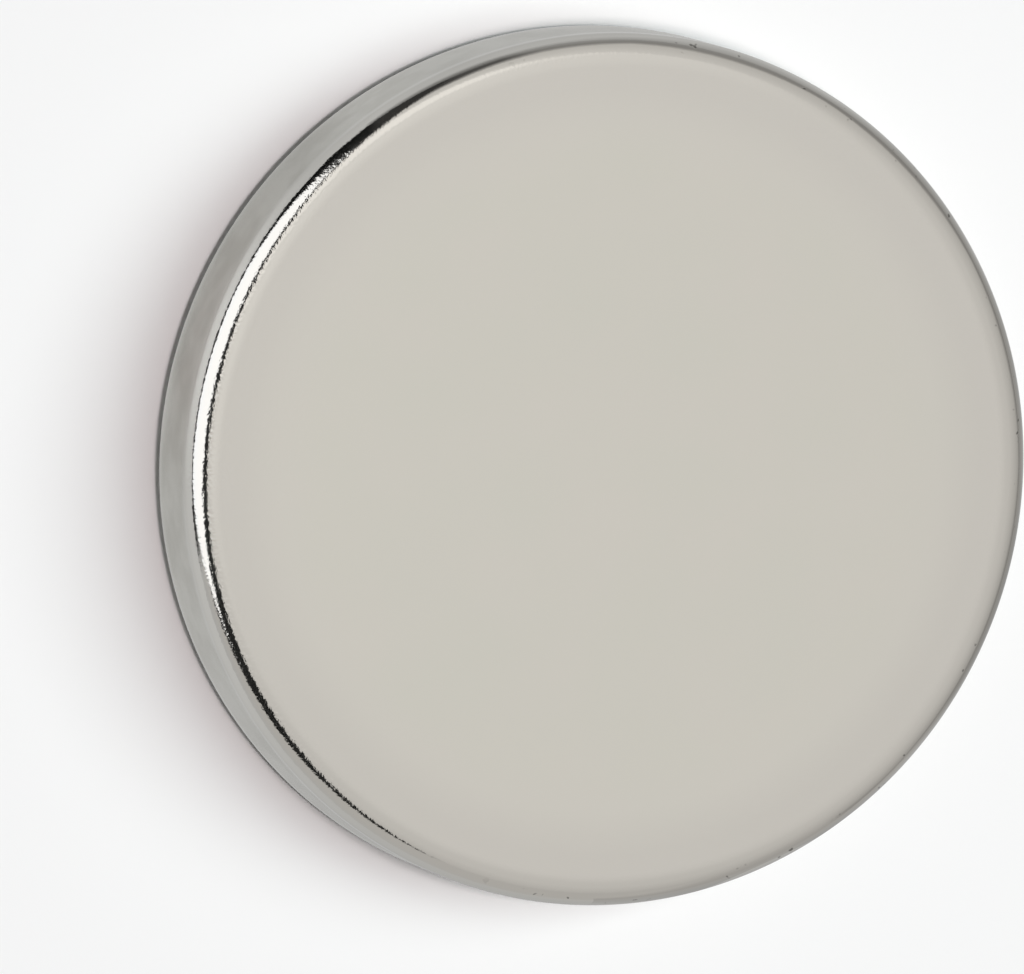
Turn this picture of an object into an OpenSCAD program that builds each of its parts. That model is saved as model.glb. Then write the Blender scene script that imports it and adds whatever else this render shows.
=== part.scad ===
// Disc magnet: a flat sintered disc with tumbled edges and a bright plated skin.
// One solid of revolution. It lies on its lower face, with its axis along +Z.

/* [Disc] */
// Outer diameter of the disc
disc_d = 20; // [8:0.5:60]
// Thickness of the disc, face to face
disc_t = 3; // [1.5:0.1:12]

/* [Tumbled edge] */
// Radius of the corner between a face and the wall
corner_r = 0.5; // [0.1:0.05:0.6]
// Width of the shallow roll-off, from the end of a face's flat to the centre of the corner
rolloff_w = 0.237; // [0.05:0.001:0.6]
// Depth of the corner's top below the flat, which the roll-off leads down to
rolloff_drop = 0.009; // [0.002:0.001:0.03]

/* [Hidden] */

nickel = [0.79, 0.77, 0.73];
$fn = 180;

wall_r = disc_d / 2;
mid_z = disc_t / 2;

// The roll-off's arc is tangent to the flat, and the corner's arc touches it from inside.
// The distance between their two centres follows from the roll-off's width and drop.
centre_gap = (rolloff_w ^ 2 + rolloff_drop ^ 2) / (2 * rolloff_drop);
rolloff_r = centre_gap + corner_r;

// Radius at which the flat of a face ends
flat_r = wall_r - corner_r - rolloff_w;
// Width of the face between the end of its flat and the place where the corner takes over
blend_w = rolloff_w * rolloff_r / centre_gap;
// Depth of the corner's centre below the flat
corner_z = corner_r + rolloff_drop;

// Upper edge in section, from the end of the flat to the wall
module edge_section() {
    intersection() {
        translate([flat_r, disc_t - rolloff_r]) circle(r = rolloff_r);
        translate([flat_r, mid_z]) square([blend_w, disc_t]);
    }
    translate([wall_r - corner_r, disc_t - corner_z]) circle(r = corner_r);
}

// Half of the disc in section, with the disc's axis along Y
module disc_section() {
    square([flat_r, disc_t]);
    translate([0, corner_z]) square([wall_r, disc_t - 2 * corner_z]);
    edge_section();
    translate([0, disc_t]) mirror([0, 1]) edge_section();
}

module disc_magnet() {
    color(nickel) rotate_extrude() disc_section();
}

disc_magnet();
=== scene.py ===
"""Looks of the disc magnet: a bright plated disc on a pale floor, in soft studio light."""

import math

import bmesh
import bpy
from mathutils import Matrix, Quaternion, Vector


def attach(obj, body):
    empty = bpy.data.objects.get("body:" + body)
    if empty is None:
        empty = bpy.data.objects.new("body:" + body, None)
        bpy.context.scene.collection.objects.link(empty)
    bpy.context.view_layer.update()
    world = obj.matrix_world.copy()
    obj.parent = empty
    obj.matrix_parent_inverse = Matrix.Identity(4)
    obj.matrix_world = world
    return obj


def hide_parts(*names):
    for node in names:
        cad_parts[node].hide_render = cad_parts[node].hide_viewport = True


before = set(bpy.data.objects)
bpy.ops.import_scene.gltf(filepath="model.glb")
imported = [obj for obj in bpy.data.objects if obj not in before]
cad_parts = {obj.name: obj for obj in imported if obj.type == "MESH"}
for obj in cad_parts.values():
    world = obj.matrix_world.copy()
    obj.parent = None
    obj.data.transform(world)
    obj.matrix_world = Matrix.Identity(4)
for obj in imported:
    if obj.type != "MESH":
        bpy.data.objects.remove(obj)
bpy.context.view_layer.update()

NODE = "disc_magnet"

# Sizes of the disc in metres, as in the part's source
DISC_R = 0.010
DISC_T = 0.003
CORNER_R = 0.0005
ROLLOFF_W = 0.000237
ROLLOFF_DROP = 0.000009

# Edge arcs that follow from those sizes
CENTRE_GAP = (ROLLOFF_W**2 + ROLLOFF_DROP**2) / (2 * ROLLOFF_DROP)
ROLLOFF_R = CENTRE_GAP + CORNER_R
ROLLOFF_TURN = math.asin(ROLLOFF_W / CENTRE_GAP)
FLAT_R = DISC_R - CORNER_R - ROLLOFF_W
CORNER_Z = CORNER_R + ROLLOFF_DROP

# Fineness of the turned mesh
SEGMENTS = 640
FACE_RINGS = 10
ROLLOFF_STEPS = 6
CORNER_STEPS = 26
WALL_STEPS = 8

# Camera: how the photograph's frame sees the disc
IMAGE_W = 1024
IMAGE_H = 974
SENSOR_W = 36.0
VIEW_DISTANCE = 0.5
VIEW_TILT = math.radians(17.83)
VIEW_AZIMUTH = math.radians(160.74)
PIXELS_PER_RADIUS = 437.7
DISC_PIXEL = (592.9, 465.33)

# Nickel plating: its tints, and how its finish changes from the axis (0) to the wall (1)
NICKEL_LIGHT = (0.652, 0.618, 0.561, 1.0)
NICKEL_DULL = (0.624, 0.612, 0.543, 1.0)
NICKEL_RIM = (0.636, 0.608, 0.557, 1.0)
NICKEL_CORNER = (0.612, 0.602, 0.570, 1.0)
WALL_LIGHT = (0.535, 0.528, 0.486, 1.0)
WALL_DULL = (0.466, 0.458, 0.416, 1.0)
NICKEL_GRAZING = (0.82, 0.82, 0.82, 1.0)
PIT_COLOUR = (0.24, 0.23, 0.21, 1.0)
RIM_STOPS = ((0.0, 0.0), (0.70, 0.0), (0.90, 1.0), (1.0, 1.0))
ROUGHNESS_STOPS = ((0.0, 0.13), (0.78, 0.13), (0.88, 0.22), (0.930, 0.22), (0.950, 0.09), (1.0, 0.09))
GRAIN_STOPS = (
    (0.0, 0.03),
    (0.90, 0.07),
    (0.947, 0.10),
    (0.957, 1.0),
    (0.968, 1.0),
    (0.975, 0.5),
    (1.0, 0.5),
)
WALL_ROUGHNESS = 0.25
CORNER_FROM = 0.00142
CORNER_TO = 0.00128
WALL_FROM = 0.00122
WALL_TO = 0.0007
CLOUD_SCALE = 420.0
CLOUD_DETAIL = 3.0
STREAK_SCALE = 900.0
STREAK_DETAIL = 2.0
STREAK_FROM = 0.35
STREAK_TO = 0.65
GRAIN_SCALE = 12000.0
GRAIN_DETAIL = 2.0
GRAIN_HEIGHT = 0.0000085
GRAIN_MIDDLE = 0.5
GRAIN_SIDE_FROM = -0.004
GRAIN_SIDE_TO = -0.0075
GRAIN_ELSEWHERE = 0.25
GRAIN_ON_SIDE = 1.0
PIT_SCALE = 5200.0
PIT_DETAIL = 1.0
PIT_FROM = 0.69
PIT_TO = 0.75
PIT_HEIGHT = 0.000006
PIT_BAND = ((0.966, 0.0), (0.976, 1.0), (0.99, 1.0), (0.995, 0.0))
PIT_SIDE_FROM = -0.0035
PIT_SIDE_TO = -0.001

# Sockets of a mix node by number: its factor, and the two inputs and the result of each kind
MIX_FACTOR = 0
MIX_VALUE_SOCKETS = (2, 3, 0)
MIX_COLOUR_SOCKETS = (6, 7, 2)

# Floor and studio
WHITE = (1.0, 1.0, 1.0, 1.0)
FULL_TURN = 360.0
LEVEL_ZENITH = 90.0
FLOOR_SIDE = 4.0
FLOOR_COLOUR = (0.90, 0.90, 0.90, 1.0)
FLOOR_ROUGHNESS = 0.7
DOME_R = 1.9
DOME_SEGMENTS = 48
DOME_RINGS = 24
FILL_LEVEL = 0.05
GLOW_AZIMUTH = 106.0
GLOW_ZENITH = 14.3
GLOW_STOPS = (
    (0.0, 0.47),
    (0.17, 0.54),
    (0.34, 0.605),
    (0.57, 0.68),
    (0.77, 0.73),
    (0.87, 0.78),
    (0.914, 0.82),
    (0.94, 0.85),
    (0.95, 0.92),
    (0.959, 1.06),
    (0.967, 1.19),
    (1.0, 1.24),
)

# Lamps
TOP_LAMP_DISTANCE = 0.3
TOP_LAMP_SIZE = 0.04
TOP_LAMP_AZIMUTH = 165.0
TOP_LAMP_ZENITH = 5.0
TOP_LAMP_POWER = 0.39
TOP_LAMP_COLOUR = (1.0, 0.89, 0.89)
KEY_LAMP_DISTANCE = 0.6
KEY_LAMP_WIDTH = 0.34
KEY_LAMP_LENGTH = 0.62
KEY_LAMP_AZIMUTH = 8.0
KEY_LAMP_ZENITH = 28.0
KEY_LAMP_POWER = 3.05
KEY_LAMP_COLOUR = (0.915, 1.0, 1.0)

# Softbox and ceiling panel by azimuth and zenith angle in degrees, drape and backdrop by place in metres
CARD_DISTANCE = 0.35
SOFTBOX_CORNERS = (
    (118, 33),
    (127, 58),
    (136, 71),
    (148, 81.5),
    (185, 84),
    (194, 75),
    (202, 63),
    (211, 51),
    (217, 43.5),
)
SOFTBOX_STRENGTH = 1.67
SOFTBOX_COLOUR = (0.93, 0.955, 1.0, 1.0)
PANEL_ROWS = (
    ((308, 6.5), (322, 12.6), (326, 16.9), (329, 23.3), (331, 27), (336, 44)),
    ((54, 25.5), (47, 24), (39, 22.9), (30, 22.3), (28, 26), (22, 42)),
)
PANEL_COVERS = (1.0, 0.95, 0.62, 0.60, 0.08, 0.0)
PANEL_STRENGTH = 1.02
DRAPE_TURN = math.radians(7.6)
DRAPE_TOP = (-0.063, 0.45)
DRAPE_FOOT = (-0.9, 0.0)
DRAPE_REACH = 3.0
DRAPE_COLOUR = (0.045, 0.045, 0.045, 1.0)
DRAPE_ROUGHNESS = 1.0
BACKDROP_LEFT = (-0.42, -0.14)
BACKDROP_RIGHT = (0.25, -0.25)
BACKDROP_TOP = 0.20
BACKDROP_STRENGTH = 0.62

# Dark fence: at each azimuth four zenith angles, where it fades in, is full and is gone, and its cover
FENCE_FOOT = Vector((0.0, 0.0, 0.0029))
FENCE_RADIUS = 0.0107
FENCE_EDGE_R = 0.0098
FENCE_STRENGTH = 0.05
FENCE_STATIONS = (
    (-90, 76, 88, 100, 136, 0.18),
    (-44, 76, 88, 100, 136, 0.18),
    (-30, 76, 90, 102, 140, 0.45),
    (0, 75, 90, 102, 140, 0.42),
    (28, 70, 84, 97, 138, 0.44),
    (58, 64, 75, 84, 130, 0.48),
    (86, 58, 74, 79, 122, 0.52),
    (99, 50, 68, 73, 110, 0.62),
    (105, 46, 66, 75, 108, 0.88),
    (115, 42, 58, 75, 110, 0.97),
    (124, 38, 47, 78, 108, 1.0),
    (126, 38, 47, 78, 108, 0.0),
)

# Grey table top seen only in the metal: a glowing sheet whose levels are painted light and shade of the
# floor round the disc. At each azimuth its cover, 0 where the floor shows, and its levels near and far
# off
TABLE_Z = 0.000005
TABLE_FOOT_COVER = 1.0
TABLE_FOOT_RADII = (0.00998, 0.01025)
TABLE_NEAR_RADII = (0.0104, 0.011)
TABLE_FAR_RADII = (0.012, 0.5)
TABLE_STEPS = 90
TABLE_PAINTED_LIGHT_STATIONS = (
    (0, 1.0, 0.75, 0.72),
    (60, 1.0, 0.79, 0.76),
    (85, 1.0, 0.79, 0.70),
    (110, 1.0, 0.80, 0.67),
    (120, 1.0, 0.84, 0.73),
    (126, 1.0, 0.78, 0.70),
    (134, 0.8, 0.68, 0.64),
    (156, 0.0, 0.72, 0.72),
    (168, 0.0, 0.76, 0.76),
    (184, 0.9, 0.77, 0.75),
    (198, 1.0, 0.79, 0.77),
    (215, 1.0, 0.78, 0.76),
    (228, 1.0, 0.74, 0.72),
    (245, 1.0, 0.66, 0.68),
    (270, 1.0, 0.66, 0.66),
    (300, 1.0, 0.70, 0.66),
    (360, 1.0, 0.75, 0.72),
)


def spaced(start, end, steps):
    """Evenly spaced values after start, up to and including end."""
    return [start + (end - start) * i / steps for i in range(1, steps + 1)]


def edge_point(turn):
    """Radius, height and normal angle on the upper edge where the normal leans by turn from the axis."""
    if turn <= ROLLOFF_TURN:
        radius = FLAT_R + ROLLOFF_R * math.sin(turn)
        height = DISC_T - ROLLOFF_R + ROLLOFF_R * math.cos(turn)
    else:
        radius = DISC_R - CORNER_R + CORNER_R * math.sin(turn)
        height = DISC_T - CORNER_Z + CORNER_R * math.cos(turn)
    return radius, height, turn


def upper_profile():
    """Rings from the middle of the upper face out to the start of the wall."""
    face = [(radius, DISC_T, 0.0) for radius in spaced(0.0, FLAT_R, FACE_RINGS)]
    rolloff = [edge_point(turn) for turn in spaced(0.0, ROLLOFF_TURN, ROLLOFF_STEPS)]
    corner = [edge_point(turn) for turn in spaced(ROLLOFF_TURN, math.pi / 2, CORNER_STEPS)]
    return face + rolloff + corner


def disc_profile():
    """All rings from the upper face over the wall to the lower face, without the two centres."""
    upper = upper_profile()
    lower = [(radius, DISC_T - height, math.pi - turn) for radius, height, turn in reversed(upper)]
    wall_top = upper[-1][1]
    wall_end = lower[0][1]
    wall = [(DISC_R, height, math.pi / 2) for height in spaced(wall_top, wall_end, WALL_STEPS)]
    return upper + wall[:-1] + lower


def ring_points(radius, height, turn):
    """The points of one ring and their normals."""
    points = []
    normals = []
    for i in range(SEGMENTS):
        angle = 2 * math.pi * i / SEGMENTS
        outward = Vector((math.cos(angle), math.sin(angle), 0.0))
        points.append(outward * radius + Vector((0.0, 0.0, height)))
        normals.append(outward * math.sin(turn) + Vector((0.0, 0.0, math.cos(turn))))
    return points, normals


def ring_faces(ring):
    """The quads between a ring and the one below it."""
    first = 1 + ring * SEGMENTS
    faces = []
    for i in range(SEGMENTS):
        j = (i + 1) % SEGMENTS
        faces.append((first + i, first + SEGMENTS + i, first + SEGMENTS + j, first + j))
    return faces


def disc_mesh():
    """The disc as a closed mesh of revolution, with the true normals of its arcs."""
    profile = disc_profile()
    points = [Vector((0.0, 0.0, DISC_T))]
    normals = [Vector((0.0, 0.0, 1.0))]
    faces = []
    for ring, (radius, height, turn) in enumerate(profile):
        ring_at, ring_normals = ring_points(radius, height, turn)
        points += ring_at
        normals += ring_normals
        if ring + 1 < len(profile):
            faces += ring_faces(ring)
    points.append(Vector((0.0, 0.0, 0.0)))
    normals.append(Vector((0.0, 0.0, -1.0)))
    last = len(points) - 1
    last_ring = last - SEGMENTS
    for i in range(SEGMENTS):
        j = (i + 1) % SEGMENTS
        faces.append((0, 1 + i, 1 + j))
        faces.append((last, last_ring + j, last_ring + i))
    mesh = bpy.data.meshes.new("disc_magnet_plated")
    mesh.from_pydata(points, [], faces)
    mesh.shade_smooth()
    mesh.normals_split_custom_set_from_vertices(normals)
    return mesh


def add_object(name, data):
    """A new object of the scene, at the origin."""
    made = bpy.data.objects.new(name, data)
    bpy.context.scene.collection.objects.link(made)
    return made


def new_tree(name):
    """A new material and its empty node tree."""
    material = bpy.data.materials.new(name)
    material.use_nodes = True
    material.node_tree.nodes.clear()
    return material, material.node_tree


def new_glow(name):
    """A new material for a glowing stage piece, whose light only reflected rays find."""
    material, tree = new_tree(name)
    material.cycles.emission_sampling = "NONE"
    return material, tree


def add_node(tree, kind, settings=None, inputs=None):
    """A node with its settings, and its inputs set to a value or linked from another node's output."""
    made = tree.nodes.new(kind)
    for key, value in (settings or {}).items():
        setattr(made, key, value)
    for key, value in (inputs or {}).items():
        if isinstance(value, bpy.types.NodeSocket):
            tree.links.new(value, made.inputs[key])
        else:
            made.inputs[key].default_value = value
    return made


def ramp_between(tree, value, low, high):
    """0 at low, 1 at high and a smooth step between them."""
    settings = {"interpolation_type": "SMOOTHSTEP"}
    inputs = {"Value": value, "From Min": low, "From Max": high}
    return add_node(tree, "ShaderNodeMapRange", settings, inputs).outputs["Result"]


def ramp_through(tree, value, stops):
    """A grey level that changes with a value, through stops of position and level."""
    ramp = add_node(tree, "ShaderNodeValToRGB", None, {"Fac": value})
    elements = ramp.color_ramp.elements
    while len(elements) < len(stops):
        elements.new(1.0)
    for element, (position, level) in zip(elements, stops):
        element.position = position
        element.color = (level, level, level, 1.0)
    return ramp.outputs["Color"]


def combine(tree, operation, first, second):
    """The result of a sum or another operation on two values."""
    return add_node(tree, "ShaderNodeMath", {"operation": operation}, {0: first, 1: second}).outputs[0]


def noise(tree, place, scale, detail):
    """A noise value between 0 and 1."""
    inputs = {"Vector": place, "Scale": scale, "Detail": detail}
    return add_node(tree, "ShaderNodeTexNoise", None, inputs).outputs["Fac"]


def mix(tree, kind, sockets, factor, first, second):
    """The result of a mix node of one kind, by the numbers of its sockets."""
    socket_a, socket_b, result = sockets
    inputs = {MIX_FACTOR: factor, socket_a: first, socket_b: second}
    return add_node(tree, "ShaderNodeMix", {"data_type": kind}, inputs).outputs[result]


def mix_values(tree, factor, first, second):
    """A value between two others."""
    return mix(tree, "FLOAT", MIX_VALUE_SOCKETS, factor, first, second)


def mix_colours(tree, factor, first, second):
    """A colour between two others."""
    return mix(tree, "RGBA", MIX_COLOUR_SOCKETS, factor, first, second)


def share_of_radius(tree, place):
    """How far a point is from the axis, as a share of the disc's radius."""
    inputs = {0: place, 1: (1.0 / DISC_R, 1.0 / DISC_R, 0.0)}
    flat = add_node(tree, "ShaderNodeVectorMath", {"operation": "MULTIPLY"}, inputs).outputs["Vector"]
    return add_node(tree, "ShaderNodeVectorMath", {"operation": "LENGTH"}, {0: flat}).outputs["Value"]


def axis_of(tree, place, axis):
    """One coordinate of a place."""
    return add_node(tree, "ShaderNodeSeparateXYZ", None, {"Vector": place}).outputs[axis]


def from_middle(tree, place):
    """How far a point is above or below the middle of the wall."""
    offset = combine(tree, "SUBTRACT", axis_of(tree, place, "Z"), DISC_T / 2)
    return combine(tree, "ABSOLUTE", offset, 0.0)


def pit_mask(tree, place, share):
    """1 inside the few small pits that tumbling leaves on the corners."""
    rough = noise(tree, place, PIT_SCALE, PIT_DETAIL)
    pits = ramp_between(tree, rough, PIT_FROM, PIT_TO)
    side = ramp_between(tree, axis_of(tree, place, "X"), PIT_SIDE_FROM, PIT_SIDE_TO)
    band = combine(tree, "MULTIPLY", side, ramp_through(tree, share, PIT_BAND))
    return combine(tree, "MULTIPLY", pits, band)


def wall_colour(tree, place):
    """The duller tint of the ground wall, in soft patches."""
    patches = noise(tree, place, STREAK_SCALE, STREAK_DETAIL)
    return mix_colours(tree, ramp_between(tree, patches, STREAK_FROM, STREAK_TO), WALL_LIGHT, WALL_DULL)


def plate_colour(tree, place, share, corner, wall, pits):
    """Nickel in close tints, greyer on the corners, duller on the ground wall and dark in the pits."""
    clouds = noise(tree, place, CLOUD_SCALE, CLOUD_DETAIL)
    plate = mix_colours(tree, clouds, NICKEL_LIGHT, NICKEL_DULL)
    plate = mix_colours(tree, ramp_through(tree, share, RIM_STOPS), plate, NICKEL_RIM)
    plate = mix_colours(tree, corner, plate, NICKEL_CORNER)
    plate = mix_colours(tree, wall, plate, wall_colour(tree, place))
    return mix_colours(tree, pits, plate, PIT_COLOUR)


def plate_bump(tree, place, share, pits):
    """Fine grain, strongest on the tumbled corners of one side, with the pits sunk into it."""
    grain = combine(tree, "SUBTRACT", noise(tree, place, GRAIN_SCALE, GRAIN_DETAIL), GRAIN_MIDDLE)
    side = ramp_between(tree, axis_of(tree, place, "X"), GRAIN_SIDE_FROM, GRAIN_SIDE_TO)
    grain = combine(tree, "MULTIPLY", grain, mix_values(tree, side, GRAIN_ELSEWHERE, GRAIN_ON_SIDE))
    height = combine(tree, "MULTIPLY", grain, ramp_through(tree, share, GRAIN_STOPS))
    inputs = {"Distance": GRAIN_HEIGHT, "Height": height}
    grained = add_node(tree, "ShaderNodeBump", None, inputs).outputs["Normal"]
    inputs = {"Distance": PIT_HEIGHT, "Height": pits, "Normal": grained}
    return add_node(tree, "ShaderNodeBump", {"invert": True}, inputs).outputs["Normal"]


def nickel_material():
    """Bright nickel plate: smooth in the middle of a face, satin further out, polished on the corners."""
    material, tree = new_tree("nickel_plate")
    place = add_node(tree, "ShaderNodeTexCoord").outputs["Object"]
    share = share_of_radius(tree, place)
    height = from_middle(tree, place)
    corner = ramp_between(tree, height, CORNER_FROM, CORNER_TO)
    wall = ramp_between(tree, height, WALL_FROM, WALL_TO)
    pits = pit_mask(tree, place, share)
    inputs = {
        "Base Color": plate_colour(tree, place, share, corner, wall, pits),
        "Metallic": 1.0,
        "Specular Tint": NICKEL_GRAZING,
        "Roughness": mix_values(tree, wall, ramp_through(tree, share, ROUGHNESS_STOPS), WALL_ROUGHNESS),
        "Normal": plate_bump(tree, place, share, pits),
    }
    shader = add_node(tree, "ShaderNodeBsdfPrincipled", None, inputs)
    add_node(tree, "ShaderNodeOutputMaterial", None, {"Surface": shader.outputs["BSDF"]})
    return material


def matt_material(name, colour, roughness):
    """A plain matt surface for the stage."""
    material, tree = new_tree(name)
    inputs = {"Base Color": colour, "Roughness": roughness}
    shader = add_node(tree, "ShaderNodeBsdfPrincipled", None, inputs)
    add_node(tree, "ShaderNodeOutputMaterial", None, {"Surface": shader.outputs["BSDF"]})
    return material


def glowing_material(name, strength, colour=WHITE):
    """A surface that gives off a plain light."""
    material, tree = new_glow(name)
    shader = add_node(tree, "ShaderNodeEmission", None, {"Strength": strength, "Color": colour})
    add_node(tree, "ShaderNodeOutputMaterial", None, {"Surface": shader.outputs["Emission"]})
    return material


def soft_material(name, strength=None):
    """A glowing surface, clear where its cover is low. Without a strength its points hold their level."""
    material, tree = new_glow(name)
    if strength is None:
        strength = add_node(tree, "ShaderNodeAttribute", {"attribute_name": "level"}).outputs["Fac"]
    cover = add_node(tree, "ShaderNodeAttribute", {"attribute_name": "cover"}).outputs["Fac"]
    clear = add_node(tree, "ShaderNodeBsdfTransparent").outputs["BSDF"]
    glow = add_node(tree, "ShaderNodeEmission", None, {"Strength": strength}).outputs["Emission"]
    shader = add_node(tree, "ShaderNodeMixShader", None, {0: cover, 1: clear, 2: glow})
    add_node(tree, "ShaderNodeOutputMaterial", None, {"Surface": shader.outputs["Shader"]})
    return material


def toward(azimuth, zenith, distance):
    """The point at a distance from the origin, by azimuth and angle from the zenith in degrees."""
    across = distance * math.sin(math.radians(zenith))
    turn = math.radians(azimuth)
    rise = distance * math.cos(math.radians(zenith))
    return Vector((across * math.cos(turn), across * math.sin(turn), rise))


def add_card(name, corners, material):
    """A flat stage card that the camera doesn't see."""
    mesh = bpy.data.meshes.new(name)
    mesh.from_pydata(corners, [], [tuple(range(len(corners)))])
    mesh.materials.append(material)
    card = add_object(name, mesh)
    card.visible_camera = False
    return card


def add_sheet(name, rows, material):
    """A soft stage sheet through rows of points, each point with its cover."""
    columns = len(rows[0])
    points = [point for row in rows for point, cover in row]
    covers = [cover for row in rows for point, cover in row]
    faces = []
    for i in range(len(rows) - 1):
        for j in range(columns - 1):
            first = i * columns + j
            faces.append((first, first + 1, first + columns + 1, first + columns))
    mesh = bpy.data.meshes.new(name)
    mesh.from_pydata(points, [], faces)
    mesh.attributes.new("cover", "FLOAT", "POINT").data.foreach_set("value", covers)
    mesh.materials.append(material)
    sheet = add_object(name, mesh)
    sheet.visible_camera = False
    only_in_reflections(sheet)
    return sheet


def only_in_reflections(card):
    """Keeps a stage piece's light and shadow off the floor."""
    card.visible_diffuse = False
    card.visible_shadow = False


def flat_corners(x_from, x_to, y_from, y_to, z):
    """The corners of a level rectangle."""
    return [(x_from, y_from, z), (x_to, y_from, z), (x_to, y_to, z), (x_from, y_to, z)]


def add_disc():
    """The plated disc, in place of the CAD solid."""
    mesh = disc_mesh()
    mesh.materials.append(nickel_material())
    disc = add_object("disc_magnet_plated", mesh)
    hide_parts(NODE)
    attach(disc, "root")
    return disc


def add_floor():
    """The pale floor that the disc lies on."""
    half = FLOOR_SIDE / 2
    mesh = bpy.data.meshes.new("floor")
    mesh.from_pydata(flat_corners(-half, half, -half, half, 0.0), [], [(0, 1, 2, 3)])
    mesh.materials.append(matt_material("floor_white", FLOOR_COLOUR, FLOOR_ROUGHNESS))
    add_object("floor", mesh)


def add_softbox():
    """The bright softbox that shows along the left edge."""
    points = [toward(azimuth, zenith, CARD_DISTANCE) for azimuth, zenith in SOFTBOX_CORNERS]
    light = glowing_material("softbox_light", SOFTBOX_STRENGTH, SOFTBOX_COLOUR)
    only_in_reflections(add_card("softbox", points, light))


def add_panel():
    """The ceiling panel that shows in the face, soft on its right."""
    rows = []
    for row in PANEL_ROWS:
        points = [toward(azimuth, zenith, CARD_DISTANCE) for azimuth, zenith in row]
        rows.append(list(zip(points, PANEL_COVERS)))
    add_sheet("panel", rows, soft_material("panel_light", PANEL_STRENGTH))


def fence_point(azimuth, zenith):
    """Where a line of sight from the disc's edge meets the fence."""
    edge = toward(azimuth, LEVEL_ZENITH, FENCE_EDGE_R) + FENCE_FOOT
    reach = (FENCE_RADIUS - FENCE_EDGE_R) / math.sin(math.radians(zenith))
    return edge + toward(azimuth, zenith, reach)


def add_fence():
    """The low dark fence to the right of the disc and behind it, soft at its upper and lower edges."""
    rows = []
    for azimuth, top_fade, top, bottom, bottom_fade, cover in FENCE_STATIONS:
        levels = ((top_fade, 0.0), (top, cover), (bottom, cover), (bottom_fade, 0.0))
        rows.append([(fence_point(azimuth, zenith), level) for zenith, level in levels])
    add_sheet("fence", rows, soft_material("fence_dark", FENCE_STRENGTH))


def add_drape():
    """The dark drape on the camera's side, which leans from above the disc down to the floor."""
    along = Vector((-math.sin(DRAPE_TURN), math.cos(DRAPE_TURN), 0.0)) * DRAPE_REACH
    across = Vector((math.cos(DRAPE_TURN), math.sin(DRAPE_TURN), 0.0))
    top = across * DRAPE_TOP[0] + Vector((0.0, 0.0, DRAPE_TOP[1]))
    foot = across * DRAPE_FOOT[0] + Vector((0.0, 0.0, DRAPE_FOOT[1]))
    corners = [top - along, top + along, foot + along, foot - along]
    add_card("drape", corners, matt_material("drape_black", DRAPE_COLOUR, DRAPE_ROUGHNESS))


def add_backdrop():
    """The upright grey panel below the disc in the picture."""
    foot = [BACKDROP_LEFT, BACKDROP_RIGHT]
    corners = [(x, y, 0.0) for x, y in foot] + [(x, y, BACKDROP_TOP) for x, y in reversed(foot)]
    grey = glowing_material("backdrop_grey", BACKDROP_STRENGTH)
    only_in_reflections(add_card("backdrop", corners, grey))


def at_station(stations, place):
    """The values at a place, on the straight lines through stations of place and values."""
    for (start, *low), (end, *high) in zip(stations, stations[1:]):
        if place <= end:
            share = (place - start) / (end - start)
            return [first + (second - first) * share for first, second in zip(low, high)]


def add_table_painted_light():
    """The glowing grey table top that the edge of the disc shows, whole at the foot of the disc. Its
    levels are painted light and shade of the floor, and its whole ring at the foot is painted light over
    the floor's shade there.
    """
    rise = Vector((0.0, 0.0, TABLE_Z))
    rows = []
    levels = []
    for i in range(TABLE_STEPS + 1):
        azimuth = FULL_TURN * i / TABLE_STEPS
        cover, near, far = at_station(TABLE_PAINTED_LIGHT_STATIONS, azimuth)
        rings = [(radius, TABLE_FOOT_COVER, near) for radius in TABLE_FOOT_RADII]
        rings += [(radius, cover, near) for radius in TABLE_NEAR_RADII]
        rings += [(radius, cover, far) for radius in TABLE_FAR_RADII]
        rows.append([(toward(azimuth, LEVEL_ZENITH, ring[0]) + rise, ring[1]) for ring in rings])
        levels += [ring[2] for ring in rings]
    # The sheet glows at painted levels of the floor's light and shade, seen only in the metal.
    table = add_sheet("table", rows, soft_material("table_painted_floor_light"))
    table.data.attributes.new("level", "FLOAT", "POINT").data.foreach_set("value", levels)


def add_lamp(name, place, width, length, power, colour):
    """A soft lamp that faces the disc and doesn't show in it."""
    data = bpy.data.lights.new(name, "AREA")
    data.shape = "RECTANGLE"
    data.size = width
    data.size_y = length
    data.energy = power
    data.color = colour
    lamp = add_object(name, data)
    lamp.location = place
    lamp.rotation_mode = "QUATERNION"
    lamp.rotation_quaternion = (-place).to_track_quat("-Z", "Y")
    lamp.visible_glossy = False
    lamp.visible_camera = False


def add_lamps():
    """A lamp above the disc and a long one to its right, whose shadow falls to the left."""
    place = toward(TOP_LAMP_AZIMUTH, TOP_LAMP_ZENITH, TOP_LAMP_DISTANCE)
    add_lamp("top_lamp", place, TOP_LAMP_SIZE, TOP_LAMP_SIZE, TOP_LAMP_POWER, TOP_LAMP_COLOUR)
    place = toward(KEY_LAMP_AZIMUTH, KEY_LAMP_ZENITH, KEY_LAMP_DISTANCE)
    add_lamp("key_lamp", place, KEY_LAMP_WIDTH, KEY_LAMP_LENGTH, KEY_LAMP_POWER, KEY_LAMP_COLOUR)


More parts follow.
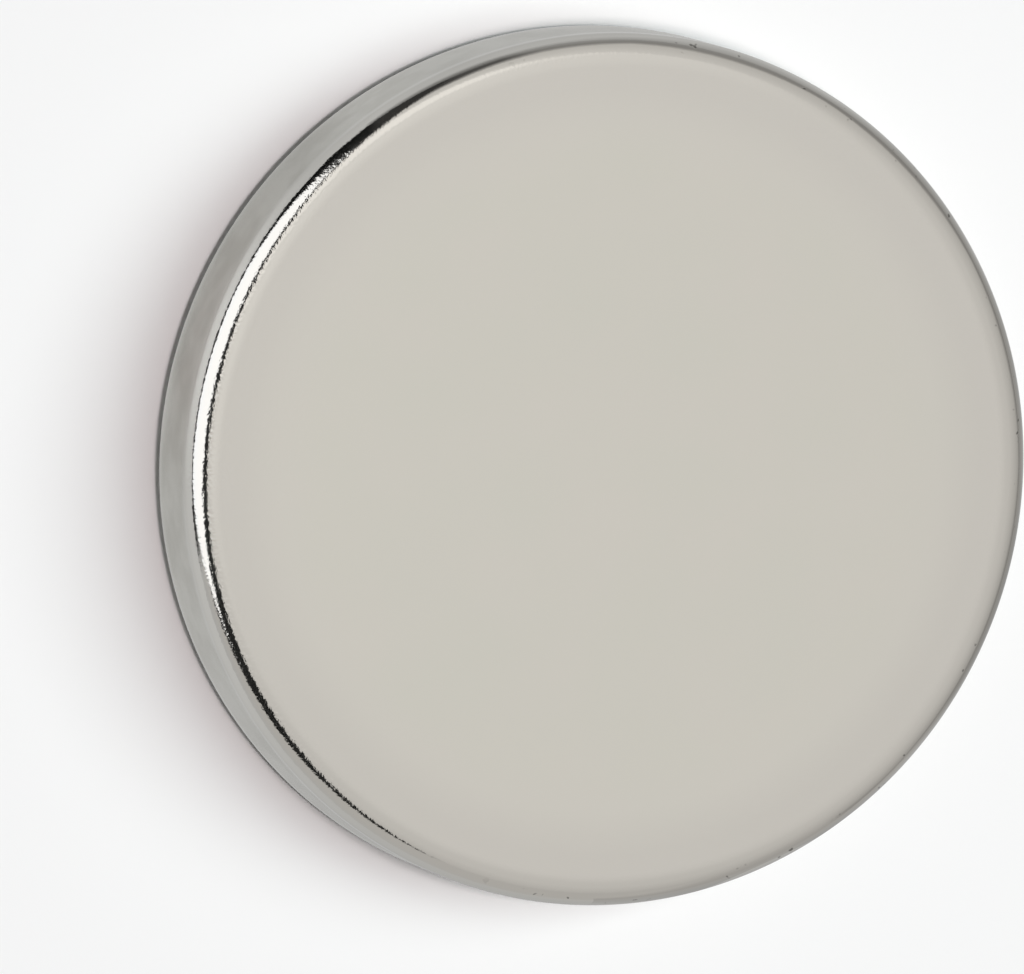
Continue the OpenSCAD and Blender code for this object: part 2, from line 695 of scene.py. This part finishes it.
def dome_material():
    """The ceiling's light, with a broad glow above the disc, dimmer towards the horizon."""
    material, tree = new_glow("ceiling_light")
    place = add_node(tree, "ShaderNodeTexCoord").outputs["Object"]
    way = add_node(tree, "ShaderNodeVectorMath", {"operation": "NORMALIZE"}, {0: place}).outputs["Vector"]
    inputs = {0: way, 1: toward(GLOW_AZIMUTH, GLOW_ZENITH, 1.0)}
    nearness = add_node(tree, "ShaderNodeVectorMath", {"operation": "DOT_PRODUCT"}, inputs)
    level = ramp_through(tree, nearness.outputs["Value"], GLOW_STOPS)
    shader = add_node(tree, "ShaderNodeEmission", None, {"Strength": level})
    add_node(tree, "ShaderNodeOutputMaterial", None, {"Surface": shader.outputs["Emission"]})
    return material


def add_dome():
    """The studio's ceiling and walls as a globe, whose lower half is under the floor."""
    mesh = bpy.data.meshes.new("dome")
    shape = bmesh.new()
    bmesh.ops.create_uvsphere(shape, u_segments=DOME_SEGMENTS, v_segments=DOME_RINGS, radius=DOME_R)
    shape.to_mesh(mesh)
    shape.free()
    mesh.materials.append(dome_material())
    dome = add_object("dome", mesh)
    only_in_reflections(dome)


def add_world():
    """A faint even fill light."""
    world = bpy.data.worlds.new("studio")
    world.use_nodes = True
    tree = world.node_tree
    tree.nodes.clear()
    light = add_node(tree, "ShaderNodeBackground", None, {"Strength": FILL_LEVEL})
    add_node(tree, "ShaderNodeOutputWorld", None, {"Surface": light.outputs["Background"]})
    bpy.context.scene.world = world


def add_camera():
    """The camera at the photograph's viewing angle, moved sideways to its framing."""
    axis = Vector((-math.sin(VIEW_AZIMUTH), math.cos(VIEW_AZIMUTH), 0.0))
    turn = Quaternion(axis, VIEW_TILT)
    right, up, back = (turn @ Vector(way) for way in ((1, 0, 0), (0, 1, 0), (0, 0, 1)))
    metres_per_pixel = DISC_R / PIXELS_PER_RADIUS
    aside = (DISC_PIXEL[0] - IMAGE_W / 2) * metres_per_pixel
    below = (DISC_PIXEL[1] - IMAGE_H / 2) * metres_per_pixel
    data = bpy.data.cameras.new("camera")
    data.sensor_width = SENSOR_W
    data.lens = PIXELS_PER_RADIUS * VIEW_DISTANCE / DISC_R * SENSOR_W / IMAGE_W
    camera = add_object("camera", data)
    camera.location = Vector((0.0, 0.0, DISC_T / 2)) + back * VIEW_DISTANCE - right * aside + up * below
    camera.rotation_mode = "QUATERNION"
    camera.rotation_quaternion = turn
    bpy.context.scene.camera = camera


bpy.context.scene.view_settings.view_transform = "Standard"
add_disc()
add_floor()
add_softbox()
add_panel()
add_fence()
add_drape()
add_backdrop()
add_table_painted_light()
add_lamps()
add_dome()
add_world()
add_camera()
